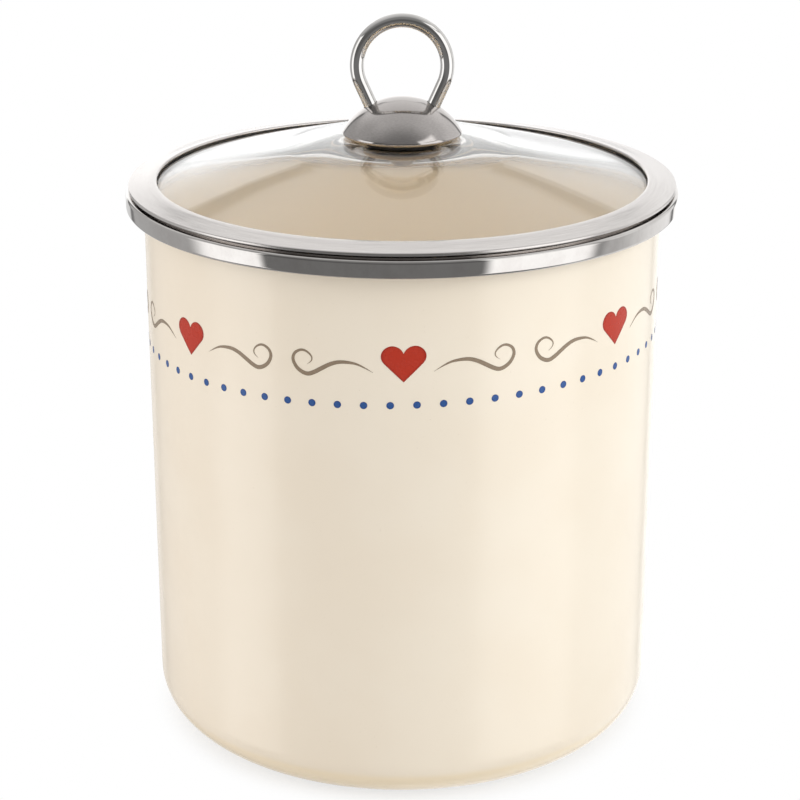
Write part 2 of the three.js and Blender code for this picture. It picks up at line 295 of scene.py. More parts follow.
def lathe(outline, segments):
    """Solid of revolution of a closed outline about +Z, in millimetres."""
    mesh_data = bmesh.new()
    rings = []
    for point in outline:
        if point[0] == 0:
            rings.append([mesh_data.verts.new((0, 0, point[1]))] * segments)
            continue
        rings.append([
            mesh_data.verts.new((point[0] * cosine, point[0] * sine, point[1]))
            for cosine, sine in circle(segments)
        ])
    for index, ring in enumerate(rings):
        following = rings[(index + 1) % len(rings)]
        for step in range(segments):
            beside = (step + 1) % segments
            corners = [ring[step], ring[beside], following[beside], following[step]]
            distinct = list(dict.fromkeys(corners))
            if len(distinct) > 2:
                mesh_data.faces.new(distinct)
    return mesh_data


def cutter_object(mesh_data, placement):
    """Object for a cut, from a mesh in millimetres and its placement."""
    mesh_data.transform(Matrix.Scale(MM, 4) @ placement)
    mesh = bpy.data.meshes.new("cutter")
    mesh_data.to_mesh(mesh)
    mesh_data.free()
    return bpy.data.objects.new("cutter", mesh)


def rod_cutter(start, end, radius):
    """Closed straight rod between two points, in millimetres."""
    mesh_data = bmesh.new()
    bmesh.ops.create_cone(
        mesh_data, cap_ends=True, segments=rod_facets, radius1=radius, radius2=radius,
        depth=(end - start).length,
    )
    turn = (end - start).to_track_quat("Z", "Y").to_matrix().to_4x4()
    return cutter_object(mesh_data, Matrix.Translation((start + end) / 2) @ turn)


def box_cutter(size, centre):
    """Closed box in millimetres."""
    mesh_data = bmesh.new()
    bmesh.ops.create_cube(mesh_data, size=1)
    return cutter_object(mesh_data, Matrix.Translation(centre) @ Matrix.Diagonal((*size, 1)))


def cut_away(piece, cutters):
    """Subtracts the cutters from a piece and deletes them."""
    for cutter in cutters:
        scene.collection.objects.link(cutter)
        boolean = piece.modifiers.new("cut", "BOOLEAN")
        boolean.operation = "DIFFERENCE"
        boolean.solver = "EXACT"
        boolean.object = cutter
    graph = bpy.context.evaluated_depsgraph_get()
    result = bpy.data.meshes.new_from_object(piece.evaluated_get(graph))
    piece.modifiers.clear()
    piece.data = result
    result.name = piece.name
    result.shade_smooth()
    result.set_sharp_from_angle(angle=sharp_edge)
    for cutter in cutters:
        bpy.data.objects.remove(cutter)


# Material helpers

def srgb(red, green, blue):
    """Linear colour of an 8-bit display colour."""
    def linear(value):
        share = value / 255
        return share / 12.92 if share <= 0.04045 else ((share + 0.055) / 1.055) ** 2.4
    return (linear(red), linear(green), linear(blue), 1.0)


def feed(tree, socket, value):
    """Sets an input, or links it where the value is another node's socket."""
    if isinstance(value, bpy.types.NodeSocket):
        tree.links.new(value, socket)
    else:
        socket.default_value = value


def add_node(tree, kind, inputs=None, **settings):
    """New node with its settings and inputs."""
    made = tree.nodes.new(kind)
    for name, value in settings.items():
        setattr(made, name, value)
    for name, value in (inputs or {}).items():
        feed(tree, made.inputs[name], value)
    return made


def calc(tree, operation, *values):
    """Result of a Math node."""
    return add_node(tree, "ShaderNodeMath", dict(enumerate(values)), operation=operation).outputs[0]


def product(tree, first, *others):
    """Product of two or more values."""
    for other in others:
        first = calc(tree, "MULTIPLY", first, other)
    return first


def ramp(tree, value, low, high, low_result=0.0, high_result=1.0):
    """Smooth step from one result to another as a value goes from low to high."""
    inputs = {
        "Value": value, "From Min": low, "From Max": high,
        "To Min": low_result, "To Max": high_result,
    }
    return add_node(tree, "ShaderNodeMapRange", inputs, interpolation_type="SMOOTHSTEP").outputs["Result"]


def noise(tree, vector, scale, detail=2.0, roughness=0.5):
    """Noise value with features about 1 / scale apart, in metres."""
    inputs = {"Vector": vector, "Scale": scale, "Detail": detail, "Roughness": roughness}
    return add_node(tree, "ShaderNodeTexNoise", inputs).outputs["Fac"]


def mix_colour(tree, share, first, second):
    """Colour between two colours."""
    return add_node(tree, "ShaderNodeMix", {0: share, 6: first, 7: second}, data_type="RGBA").outputs[2]


def bump(tree, height, depth, strength):
    """Normal of a bumpy surface, with the bumps' depth in metres."""
    inputs = {"Height": height, "Strength": strength, "Distance": depth}
    return add_node(tree, "ShaderNodeBump", inputs).outputs["Normal"]


def new_material(name):
    """Node material with its Principled shader and object coordinates."""
    material = bpy.data.materials.new(name)
    material.use_nodes = True
    tree = material.node_tree
    tree.nodes.clear()
    shader = add_node(tree, "ShaderNodeBsdfPrincipled")
    output = add_node(tree, "ShaderNodeOutputMaterial")
    tree.links.new(shader.outputs["BSDF"], output.inputs["Surface"])
    place = add_node(tree, "ShaderNodeTexCoord").outputs["Object"]
    return material, tree, shader, place


def drive(tree, shader, **sockets):
    """Links or sets the shader's inputs; an underscore in a name stands for a space."""
    for name, value in sockets.items():
        feed(tree, shader.inputs[name.replace("_", " ")], value)


def axis_distance(tree, place):
    """Distance from the axis."""
    flat = add_node(tree, "ShaderNodeVectorMath", {0: place, 1: (1, 1, 0)}, operation="MULTIPLY")
    return add_node(tree, "ShaderNodeVectorMath", {0: flat.outputs[0]}, operation="LENGTH").outputs["Value"]


def turning_lines(tree, place, scale, along):
    """Fine lines that run round the axis; along, in metres per radian, makes them end and begin again."""
    split = add_node(tree, "ShaderNodeSeparateXYZ", {"Vector": place})
    across = axis_distance(tree, place)
    angle = calc(tree, "ARCTAN2", split.outputs["Y"], split.outputs["X"])
    inputs = {"X": across, "Y": product(tree, angle, along), "Z": split.outputs["Z"]}
    rings = add_node(tree, "ShaderNodeCombineXYZ", inputs).outputs["Vector"]
    return noise(tree, rings, scale, detail=3.0, roughness=0.6)


# Materials: scales as the noise takes them, bumps' depths in metres, gloss as (least, most) roughness,
# and a band is the part of a noise's range over which a tone or a gloss changes

middle_band = (0.3, 0.7)
upper_band = (0.35, 0.7)


def enamel_material():
    """Cream vitreous enamel: glossy, with a faint orange peel, and a warmer cream inside the pot that is
    painted light, for the warm glow of light bouncing about inside it.
    """
    mottle_scale = 30
    speck_scale = 1500
    speck_band = (0.74, 0.8)
    speck_share = 0.2
    peel_scale = 320
    wave_scale = 28
    wave_share = 4.0
    peel_depth = 0.00004
    gloss_scale = 90
    gloss = (0.17, 0.23)
    face_margin = 0.2
    cream = srgb(241, 227, 207)
    pale_cream = srgb(243, 230, 211)
    painted_warm_inside_cream = srgb(243, 226, 198)
    speck_tone = srgb(206, 188, 164)
    material, tree, shader, place = new_material("cream_enamel")
    mottle = ramp(tree, noise(tree, place, mottle_scale), *middle_band)
    outside = mix_colour(tree, mottle, cream, pale_cream)
    # The warmer cream inside the pot is painted light: it stands in for the warm glow of light that bounces
    # about inside it.
    inner_face = (mouth_radius + face_margin) * MM
    outer_face = (body_radius - face_margin) * MM
    inside_share = ramp(tree, axis_distance(tree, place), inner_face, outer_face, 1.0, 0.0)
    tone = mix_colour(tree, inside_share, outside, painted_warm_inside_cream)
    speck = ramp(tree, noise(tree, place, speck_scale, detail=1), *speck_band)
    colour = mix_colour(tree, product(tree, speck, speck_share), tone, speck_tone)
    waves = product(tree, noise(tree, place, wave_scale, detail=1), wave_share)
    peel = calc(tree, "ADD", noise(tree, place, peel_scale), waves)
    drive(
        tree, shader, Base_Color=colour, IOR=1.52,
        Roughness=ramp(tree, noise(tree, place, gloss_scale, detail=3), *middle_band, *gloss),
        Normal=bump(tree, peel, peel_depth, strength=0.3),
    )
    return material


def print_material(name, core, edge):
    """Transfer print fired into the enamel, a little denser at its outline."""
    grain_scale = 1400
    grain_band = (0.4, 0.75)
    grain_share = 0.2
    outline_power = 3.0
    peel_scale = 320
    peel_depth = 0.00003
    gloss_scale = 300
    gloss = (0.22, 0.32)
    material, tree, shader, place = new_material(name)
    outline = add_node(tree, "ShaderNodeAttribute", attribute_name="outline").outputs["Fac"]
    grain = ramp(tree, noise(tree, place, grain_scale), *grain_band)
    inner_colour = mix_colour(tree, product(tree, grain, grain_share), core, edge)
    colour = mix_colour(tree, calc(tree, "POWER", outline, outline_power), inner_colour, edge)
    drive(
        tree, shader, Base_Color=colour, IOR=1.36,
        Roughness=ramp(tree, noise(tree, place, gloss_scale), *middle_band, *gloss),
        Normal=bump(tree, noise(tree, place, peel_scale), peel_depth, strength=0.3),
    )
    return material


def polished_steel_material(name, light, dark, ripple_scale, ripple_depth):
    """Polished stainless steel with a wipe haze and the faint ripples of its rolling."""
    haze_scale = 110
    haze_band = (0.35, 0.8)
    gloss = (0.04, 0.09)
    material, tree, shader, place = new_material(name)
    haze = noise(tree, place, haze_scale, detail=4, roughness=0.65)
    ripples = noise(tree, place, ripple_scale, detail=1)
    drive(
        tree, shader, Metallic=1.0,
        Base_Color=mix_colour(tree, ramp(tree, haze, *upper_band), light, dark),
        Roughness=ramp(tree, haze, *haze_band, *gloss),
        Normal=bump(tree, ripples, ripple_depth, strength=0.5),
    )
    return material


def brushed_steel_material(name, light, dark, gloss, line_scale, line_depth):
    """Stainless steel brushed round its axis."""
    line_drift = 0.003
    cloud_scale = 60
    cloud_share = 0.4
    wear_band = (0.45, 1.0)
    material, tree, shader, place = new_material(name)
    lines = turning_lines(tree, place, line_scale, line_drift)
    clouds = product(tree, noise(tree, place, cloud_scale, detail=3), cloud_share)
    drive(
        tree, shader, Metallic=1.0,
        Base_Color=mix_colour(tree, ramp(tree, lines, *middle_band), dark, light),
        Roughness=ramp(tree, calc(tree, "ADD", lines, clouds), *wear_band, *gloss),
        Normal=bump(tree, lines, line_depth, strength=0.25),
    )
    return material


def glass_material():
    """Clear soda glass with the faint waves of a pressed lid."""
    wave_scale = 38
    wave_depth = 0.0000015
    smear_scale = 70
    smear_band = (0.45, 0.8)
    gloss = (0.0, 0.02)
    material, tree, shader, place = new_material("clear_glass")
    waves = noise(tree, place, wave_scale, detail=1)
    smears = noise(tree, place, smear_scale, detail=3)
    drive(
        tree, shader, Base_Color=(0.985, 0.992, 0.988, 1), IOR=1.5,
        Roughness=ramp(tree, smears, *smear_band, *gloss),
        Normal=bump(tree, waves, wave_depth, strength=0.2),
    )
    shader.inputs["Transmission Weight"].default_value = 1.0
    return material


def silicone_material():
    """Moulded silicone rubber, dark, matt and a little dusty."""
    dust_scale = 900
    dust_depth = 0.00002
    gloss = (0.5, 0.65)
    light = srgb(84, 80, 77)
    dark = srgb(58, 55, 53)
    material, tree, shader, place = new_material("dark_silicone")
    dust = noise(tree, place, dust_scale, detail=4, roughness=0.7)
    drive(
        tree, shader, Base_Color=mix_colour(tree, ramp(tree, dust, *upper_band), dark, light), IOR=1.41,
        Roughness=ramp(tree, dust, *middle_band, *gloss),
        Normal=bump(tree, dust, dust_depth, strength=0.3),
    )
    return material


cream_enamel = enamel_material()
red_print = print_material("red_print", srgb(186, 54, 34), srgb(150, 36, 24))
umber_print = print_material("umber_print", srgb(146, 128, 108), srgb(120, 103, 84))
blue_print = print_material("blue_print", srgb(52, 88, 148), srgb(34, 62, 118))
band_steel = polished_steel_material(
    "polished_steel", srgb(214, 211, 208), srgb(206, 202, 199), ripple_scale=70, ripple_depth=0.00005
)
rod_steel = polished_steel_material(
    "rod_steel", srgb(222, 220, 218), srgb(212, 210, 207), ripple_scale=240, ripple_depth=0.000004
)
ring_steel = brushed_steel_material(
    "ring_steel", srgb(222, 218, 215), srgb(212, 207, 204),
    gloss=(0.18, 0.28), line_scale=2600, line_depth=0.000004,
)
dome_steel = brushed_steel_material(
    "dome_steel", srgb(194, 189, 186), srgb(184, 179, 176),
    gloss=(0.07, 0.13), line_scale=5200, line_depth=0.000002,
)
core_steel = brushed_steel_material(
    "core_steel", srgb(176, 173, 170), srgb(150, 147, 144),
    gloss=(0.3, 0.5), line_scale=2600, line_depth=0.00002,
)
clear_glass = glass_material()
dark_silicone = silicone_material()


# Container

def make_enamel_pot():
    """Drawn pot: turned rim, straight wall, rounded corner, foot ring and raised base, as one sheet."""
    foot_radius = body_radius - base_corner_radius
    rim_underside = rim_height - band_sheet - fit_gap - body_sheet
    rim_tip = rim_height - band_height + band_sheet + fit_gap
    hook_radius = body_radius + rim_overhang - body_sheet
    dip_radius = foot_radius - base_foot_width
    rim = bent_path([
        (hook_radius, rim_tip),
        (hook_radius, rim_underside, rim_hook_radius),
        (body_radius, rim_underside, rim_bend_radius),
        (body_radius, base_corner_radius),
    ])[:-1]
    wall_top = rim_underside - rim_bend_radius
    wall = [
        Vector((body_radius, wall_top + (base_corner_radius - wall_top) * step / wall_steps))
        for step in range(1, wall_steps)
    ]
    corner = bent_path([
        (body_radius, rim_height),
        (body_radius, 0, base_corner_radius),
        (foot_radius, 0),
    ], corner_steps)[1:-1]
    base = bent_path([
        (dip_radius + base_dip_bend, 0),
        (dip_radius, 0, base_dip_bend),
        (dip_radius - base_dip_width, base_recess, base_dip_bend),
        (0, base_recess),
    ])
    outline = sheet_outline(rim + wall + corner + base, body_sheet)
    finish_mesh(
        "enamel_pot", lathe(outline, body_segments), "container", cream_enamel, ["enamel_body"],
    )


def make_rim_trim():
    """Band rolled over the pot's rim, with its lower edge turned in under it."""
    path = bent_path([
        (band_radius - band_top_width, rim_height),
        (band_radius, rim_height, band_bend_radius),
        (band_radius, rim_height - band_height, band_bend_radius),
        (body_radius + fit_gap, rim_height - band_height),
    ], band_steps)
    finish_mesh(
        "rim_trim", lathe(sheet_outline(path, band_sheet), body_segments),
        "container", band_steel, ["rim_band"],
    )


# Lid

def make_lid_frame():
    """Ring round the glass: rolled lip, stepped plate, folded edge, skirt and the bead under the seal."""
    bead_top = seal_bottom - bedding_gap - lid_sheet
    step_radius = glass_opening_radius + plate_step_width
    step_top = plate_lip_top - plate_slope * plate_step_width + plate_step_depth / 2
    hem_bend = lid_sheet + hem_inner_bend
    path = bent_path([
        (glass_opening_radius, foot_top + bedding_gap),
        (glass_opening_radius, plate_lip_top, lid_lip_bend),
        (step_radius, step_top),
        (step_radius + 2 * plate_step_depth, step_top - plate_step_depth),
        (lid_radius, plate_edge_top, hem_bend),
        (lid_radius, hem_bottom, hem_bend),
        (hem_radius, hem_bottom),
        (hem_radius, lid_base),
        (skirt_radius, lid_base, skirt_bend),
        (skirt_radius, bead_top),
        (skirt_radius - bead_depth, bead_top - bead_height / 2, bead_bend),
        (skirt_radius, bead_top - bead_height),
        (skirt_radius, bead_top - bead_height - skirt_tail),
    ])
    finish_mesh(
        "lid_frame", lathe(sheet_outline(path, lid_sheet), body_segments),
        "lid", ring_steel, ["lid_ring"],
    )


def make_glass_dome():
    """Domed glass with ground edges at its rim and its hole."""
    edges = [
        Vector((glass_radius, cone_height(glass_radius, 0) - glass_arris)),
        Vector((glass_radius, cone_height(glass_radius, -glass_thickness) + glass_arris)),
    ]
    hole = [
        Vector((glass_hole_radius, glass_crown - glass_thickness + glass_arris)),
        Vector((glass_hole_radius, glass_crown - glass_arris)),
    ]
    outline = [*glass_face(0), *edges, *glass_face(-glass_thickness)[::-1], *hole]
    finish_mesh(
        "glass_dome", lathe(outline, body_segments), "lid", clear_glass, ["lid_glass"],
    )


def make_seal_channel():
    """Seal that wraps the edge of the glass and backs the lip of the ring."""
    lip_inside = glass_opening_radius + lid_sheet + bedding_gap
    channel_radius = seal_radius - seal_wall
    outline = [
        (lip_inside, seal_top),
        (seal_radius, seal_top, seal_wall / 2),
        (seal_radius, seal_bottom, seal_wall / 2),
        (lip_inside, seal_bottom),
        (lip_inside, seal_bottom + seal_wall),
        (channel_radius, seal_bottom + seal_wall),
        (channel_radius, seal_top - seal_wall),
        (glass_opening_radius, cone_height(glass_opening_radius, bedding_gap)),
        (glass_opening_radius, foot_top),
        (lip_inside, foot_top),
    ]
    # Its dark silicone is partly the seal's own colour and partly painted shade: it also carries the shadow
    # line where the ring's lip meets the glass.
    finish_mesh(
        "seal_channel", lathe(bent_path(outline, edge_steps, closed=True), body_segments),
        "lid", dark_silicone, ["glass_seal"],
    )


def leg_point(distance, side):
    """Middle of the right (1) or left (-1) leg of the finger ring, at a distance below the ring's arc."""
    across = ring_radius * math.cos(ring_dip) - distance * math.sin(ring_dip)
    height = ring_centre - ring_radius * math.sin(ring_dip) - distance * math.cos(ring_dip)
    return Vector((side * across, 0, height))


def make_knob_dome():
    """Pressed cap of a sphere with its edge turned in, bored for the two legs of the ring."""
    edge_angle = math.asin(knob_cut_height / knob_sphere_radius)
    dome = [(0, knob_height(0))]
    for step in range(1, dome_steps):
        angle = math.pi / 2 + (edge_angle - math.pi / 2) * step / dome_steps
        height = knob_sphere_centre + knob_sphere_radius * math.sin(angle)
        if height > knob_base + knob_edge_rise:
            dome.append((knob_sphere_radius * math.cos(angle), height))
    edge_radius = knob_sphere_radius * math.cos(edge_angle)
    path = bent_path([
        *dome,
        (edge_radius, knob_base, knob_edge_bend),
        (edge_radius - knob_lip_width, knob_base),
    ], lip_steps)
    piece = finish_mesh(
        "knob_dome", lathe(sheet_outline(path, knob_sheet), knob_segments),
        "lid", dome_steel, ["knob_shell"],
    )
    bore_end = leg_straight + leg_insertion + fit_gap
    bore_radius = rod_radius + fit_gap / 2
    cut_away(piece, [
        rod_cutter(leg_point(0, side), leg_point(bore_end, side), bore_radius) for side in (1, -1)
    ])


def make_finger_ring():
    """Round rod swept up one leg, round the ring and down the other leg."""
    leg_length = leg_straight + leg_insertion
    arc_length = ring_radius * (math.pi + 2 * ring_dip)
    whole_length = 2 * leg_length + arc_length
    ring_middle = Vector((0, 0, ring_centre))
    sideways = Vector((0, 1, 0))
    mesh_data = bmesh.new()
    sections = []
    for step in range(rod_steps + 1):
        travelled = whole_length * step / rod_steps - leg_length
        turn = min(max(travelled, 0), arc_length) / ring_radius - ring_dip
        outward = Vector((math.cos(turn), 0, math.sin(turn)))
        middle = ring_middle + outward * ring_radius
        if travelled < 0:
            middle = leg_point(-travelled, 1)
        elif travelled > arc_length:
            middle = leg_point(travelled - arc_length, -1)
        sections.append([
            mesh_data.verts.new(middle + (outward * cosine + sideways * sine) * rod_radius)
            for cosine, sine in circle(rod_facets)
        ])
    for first, second in zip(sections, sections[1:]):
        join_rows(mesh_data, [*first, first[0]], [*second, second[0]])
    mesh_data.faces.new(sections[0])
    mesh_data.faces.new(sections[-1])
    finish_mesh("finger_ring", mesh_data, "lid", rod_steel, ["knob_ring"])


def make_gaskets():
    """Gasket between the knob and the glass, and gasket between the glass and the cup washer."""
    top = knob_base - bedding_gap
    bottom = glass_crown + bedding_gap
    edge_bend = upper_gasket_thickness / 3
    upper = bent_path([
        (boss_radius + fit_gap, top),
        (upper_gasket_radius, top, edge_bend),
        (upper_gasket_radius, bottom, edge_bend),
        (boss_radius + fit_gap, bottom),
    ], edge_steps)
    finish_mesh(
        "dome_gasket", lathe(upper, knob_segments),
        "lid", dark_silicone, ["upper_gasket"],
    )
    inner_radius = screw_radius + fit_gap
    lower = bent_path([
        (inner_radius, lower_gasket_top),
        (lower_gasket_radius, lower_gasket_top, washer_bend / 2),
        (lower_gasket_radius, lower_gasket_bottom + washer_bend),
        (lower_gasket_radius - washer_bend, lower_gasket_bottom),
        (inner_radius, lower_gasket_bottom),
    ], edge_steps)
    finish_mesh(
        "glass_gasket", lathe(lower, knob_segments),
        "lid", dark_silicone, ["lower_gasket"],
    )


def make_cup_washer():
    """Cup washer that holds the lower gasket from below."""
    cup_radius = lower_gasket_radius + bedding_gap + washer_sheet
    path = bent_path([
        (cup_radius, washer_top + lower_gasket_thickness / 2),
        (cup_radius, washer_top - washer_sheet, washer_bend + washer_sheet),
        (screw_radius + fit_gap, washer_top - washer_sheet),
    ])
    finish_mesh(
        "cup_washer", lathe(sheet_outline(path, washer_sheet), knob_segments),
        "lid", dome_steel, ["knob_washer"],
    )


def make_lid_screw():
    """Screw with a chamfered head and a cross recess."""
    head_base = screw_seat - screw_head_height
    shank_top = glass_crown - boss_depth + thread_depth - fit_gap
    edge_bend = screw_head_edge / 2
    outline = bent_path([
        (0, shank_top),
        (screw_radius, shank_top, edge_bend),
        (screw_radius, screw_seat),
        (screw_head_radius, screw_seat),
        (screw_head_radius, screw_seat - screw_head_edge, edge_bend),
        (screw_head_radius - (screw_head_height - screw_head_edge), head_base, edge_bend),
        (0, head_base),
    ], screw_steps)
    piece = finish_mesh(
        "lid_screw", lathe(outline, screw_segments), "lid", core_steel, ["knob_screw"],
    )
    centre = Vector((0, 0, head_base))
    cut_away(piece, [
        box_cutter((recess_length, recess_width, 2 * recess_depth), centre),
        box_cutter((recess_width, recess_length, 2 * recess_depth), centre),
    ])


# Printed border

def wall_point(along, height, depth):
    """Point on the wall: a length round it from the front, a height above the print's line, a depth."""
    angle = along / body_radius
    tilt = print_tilt_side * math.sin(angle) + print_tilt_front * math.cos(angle)
    radius = body_radius + depth
    return Vector((radius * math.sin(angle), -radius * math.cos(angle), height + tilt))


def cubic(points, steps):
    """Points of a cubic Bezier curve, without its last one."""
    first, second, third, last = (Vector(point) for point in points)
    curve = []
    for step in range(steps):
        share = step / steps
        rest = 1 - share
        curve.append(
            first * rest ** 3 + second * (3 * rest ** 2 * share)
            + third * (3 * rest * share ** 2) + last * share ** 3
        )
    return curve


# Right half of a heart about its middle, from notch to tip, millimetres: Bezier curves and their steps
heart_curves = [
    ([(0, 1.85), (0.55, 3.4), (1.9, 4.25), (3.42, 4.21)], 9),
    ([(3.42, 4.21), (4.8, 4.17), (6.4, 2.9), (6.45, 1.25)], 9),
    ([(6.45, 1.25), (6.5, 0.1), (5.9, -0.75), (5.25, -1.35)], 6),
    ([(5.25, -1.35), (3.6, -3.0), (1.7, -4.95), (0, -6.6)], 8),
]


def heart_outline():
    """Heart about its own middle, anticlockwise, in millimetres."""
    half = [point for points, steps in heart_curves for point in cubic(points, steps)]
    tip = Vector(heart_curves[-1][0][-1])
    mirrored = [Vector((-point.x, point.y)) for point in half[1:]]
    return [tip, *half[::-1], *mirrored]


def smooth_curve(points, steps):
    """Catmull-Rom curve through points of any dimension."""
    ends = [points[0] * 2 - points[1], *points, points[-1] * 2 - points[-2]]
    curve = []
    for before, first, second, after in zip(ends, ends[1:], ends[2:], ends[3:]):
        for step in range(steps):
            share = step / steps
            curve.append((
                first * 2 + (second - before) * share
                + (before * 2 - first * 5 + second * 4 - after) * share ** 2
                + (first * 3 - before - second * 3 + after) * share ** 3
            ) / 2)
    curve.append(points[-1].copy())
    return curve


# Middle line of a scroll left of its heart, from tail to curl, millimetres: along, up, stroke width
scroll_line = [
    (-8.64, -3.68, 0.0),
    (-10.92, -2.33, 0.34),
    (-13.54, -1.14, 0.63),
    (-16.4, -0.71, 0.93),
    (-18.85, -0.82, 1.1),
    (-21.1, -1.54, 1.18),
    (-23.62, -2.9, 1.25),
    (-25.94, -4.23, 1.25),
    (-27.82, -4.85, 1.22),
    (-29.69, -4.33, 1.15),
    (-31.34, -2.99, 1.05),
    (-32.3, -0.91, 0.94),
    (-31.86, 0.85, 0.85),
    (-30.53, 1.9, 0.75),
    (-29.11, 2.17, 0.67),
    (-27.71, 1.6, 0.56),
    (-26.68, 0.54, 0.4),
    (-26.5, -0.46, 0.32),
    (-27.06, -1.31, 0.2),
    (-28.0, -1.98, 0.0),
]


def new_print():
    """New mesh with the layer that tells the outline of a print from its middle."""
    mesh_data = bmesh.new()
    return mesh_data, mesh_data.verts.layers.float.new("outline")


def print_vertices(mesh_data, outline_layer, points, depth):
    """Vertices on the wall at a depth, from (along, height, outline) points."""
    made = []
    for along, height, edge in points:
        made.append(mesh_data.verts.new(wall_point(along, height, depth)))
        made[-1][outline_layer] = edge
    return made


def ribbon_piece(name, rows, material):
    """Thin closed piece on the wall from rows of (along, height, outline) points across its stroke."""
    mesh_data, outline_layer = new_print()
    front, back = [
        [print_vertices(mesh_data, outline_layer, row, depth) for row in rows]
        for depth in (print_proud, -print_sunk)
    ]
    for layer in (front, back):
        for row, following in zip(layer, layer[1:]):
            join_rows(mesh_data, row, following)
    for end in (0, -1):
        join_rows(mesh_data, front[end], back[end])
        join_rows(mesh_data, [row[end] for row in front], [row[end] for row in back])
    finish_mesh(name, mesh_data, "container", material)


def disc_piece(name, outline, centre, material, rings):
    """Thin closed piece on the wall from an outline, filled by smaller copies of it."""
    mesh_data, outline_layer = new_print()
    edges = []
    for depth in (print_proud, -print_sunk):
        loops = []
        for ring in range(rings):
            share = 1 - ring / rings
            places = [centre + (point - centre) * share for point in outline]
            points = [(place.x, place.y, float(ring == 0)) for place in places]
            loop = print_vertices(mesh_data, outline_layer, points, depth)
            loops.append([*loop, loop[0]])
        middle = mesh_data.verts.new(wall_point(centre.x, centre.y, depth))
        for outer, inner in zip(loops, loops[1:]):
            join_rows(mesh_data, outer, inner)
        for first, second in zip(loops[-1], loops[-1][1:]):
            mesh_data.faces.new((first, second, middle))
        edges.append(loops[0])
    join_rows(mesh_data, *edges)
    finish_mesh(name, mesh_data, "container", material)


def make_heart(index, along):
    """Red heart at a length round the wall."""
    centre = Vector((along, heart_height))
    outline = [centre + point for point in heart_outline()]
    disc_piece(f"printed_heart_{index + 1}", outline, centre, red_print, heart_rings)


def make_scroll(name, along, side):
    """Ribbon along the scroll's middle line, mirrored for the right-hand side of a heart."""
    curve = smooth_curve([Vector(point) for point in scroll_line], scroll_steps)
    rows = []
    for index, point in enumerate(curve):
        before = curve[max(index - 1, 0)]
        after = curve[min(index + 1, len(curve) - 1)]
        direction = Vector((after.x - before.x, after.y - before.y)).normalized()
        across = Vector((-direction.y, direction.x))
        half_width = max(point.z, scroll_tip_width) / 2
        row = []
        for share, edge in ((-1, 1.0), (-0.5, 0.0), (0.5, 0.0), (1, 1.0)):
            place = Vector((point.x, point.y)) + across * (half_width * share)
            row.append((along - side * place.x, heart_height + place.y, edge))
        rows.append(row)
    ribbon_piece(name, rows, umber_print)


def make_dot(index, along):
    """Blue dot at a length round the wall."""
    centre = Vector((along, dot_height))
    outline = [centre + Vector(point) * dot_radius for point in circle(dot_facets)]
    disc_piece(f"printed_dot_{index + 1:02d}", outline, centre, blue_print, dot_rings)


def make_border():
    """Hearts, each between two scrolls, and a row of dots below them, all the way round."""
    circumference = 2 * math.pi * body_radius
    for index in range(heart_count):
        along = circumference * index / heart_count + print_shift
        make_heart(index, along)
        make_scroll(f"printed_scroll_{index + 1}_right", along, 1)
        make_scroll(f"printed_scroll_{index + 1}_left", along, -1)
    for index in range(dot_count):
        make_dot(index, circumference * (index + 0.5) / dot_count + print_shift)


# Studio: directions point to the side (right), away and up, the azimuth runs from the front to the right,
# pairs of angles in degrees are where an edge begins and ends, and a tone of 1 is white

halves = (-0.1, 0.1)


def blend(tree, share, first, second):
    """Value between two values."""
    return calc(tree, "ADD", first, product(tree, share, calc(tree, "SUBTRACT", second, first)))


def rest_of(tree, share):
    """What a share leaves of the whole."""
    return calc(tree, "SUBTRACT", 1.0, share)


def window(tree, value, opening, closing):
    """Smooth share that opens over one pair of values and closes over another."""
    return product(tree, ramp(tree, value, *opening), ramp(tree, value, *closing, 1.0, 0.0))


def degrees(low, high):
    """Two angles in radians."""
    return math.radians(low), math.radians(high)


def heights(low, high):
    """Upward parts of the directions at two elevations in degrees."""
    return math.sin(math.radians(low)), math.sin(math.radians(high))


def front_tone(tree, up):
    """Dark front of the room, a little paler near the table."""
    foot_tone = 0.205
    top_tone = 0.13
    return ramp(tree, up, -0.2, 0.0, foot_tone, top_tone)


def ceiling_tone(tree, side, away):
    """Ceiling that grows paler towards the backdrop and to the right."""
    near_tone = 0.26
    middle_tone = 0.66
    far_gain = 0.38
    left_share = 0.78
    right_gain = 0.1
    near_half = ramp(tree, away, -0.65, 0.05, near_tone, middle_tone)
    tone = calc(tree, "ADD", near_half, ramp(tree, away, 0.05, 1.0, 0.0, far_gain))
    left_side = ramp(tree, side, -0.75, -0.45, left_share, 1.0)
    return product(tree, tone, calc(tree, "ADD", left_side, ramp(tree, side, 0.2, 0.5, 0.0, right_gain)))


def panel_share(tree, azimuth, up, left, right, bottom, top):
    """Share of a light panel, each edge of which fades between two angles in degrees."""
    across = window(tree, azimuth, degrees(*left), degrees(*right))
    return product(tree, across, window(tree, up, heights(*bottom), heights(*top)))


def all_panels(tree, azimuth, up):
    """Tall panels on either side of the front, the right one with a shelf above it."""
    foot = (-38, -30)
    right_panel = panel_share(tree, azimuth, up, (32, 38), (80, 89), foot, (31, 34))
    right_shelf = panel_share(tree, azimuth, up, (34, 40), (74, 86), (36, 37), (45, 50))
    left_panel = panel_share(tree, azimuth, up, (-103, -95), (-61, -56), foot, (25, 28))
    return calc(tree, "MAXIMUM", calc(tree, "MAXIMUM", right_panel, right_shelf), left_panel)


def side_wall_tone(tree, off_front, right_half, up):
    """Walls beside and behind the object: grey on the left, paler on the right, parted at the horizon."""
    beside_tone = 0.58
    behind_tone = 1.05
    low_left_tone = 0.5
    high_left_tone = 0.52
    high_right_tone = 0.9
    low_right = ramp(tree, off_front, *degrees(92, 130), beside_tone, behind_tone)
    low = blend(tree, right_half, low_left_tone, low_right)
    high = blend(tree, right_half, high_left_tone, high_right_tone)
    return blend(tree, ramp(tree, up, *heights(-4, 2)), low, high)


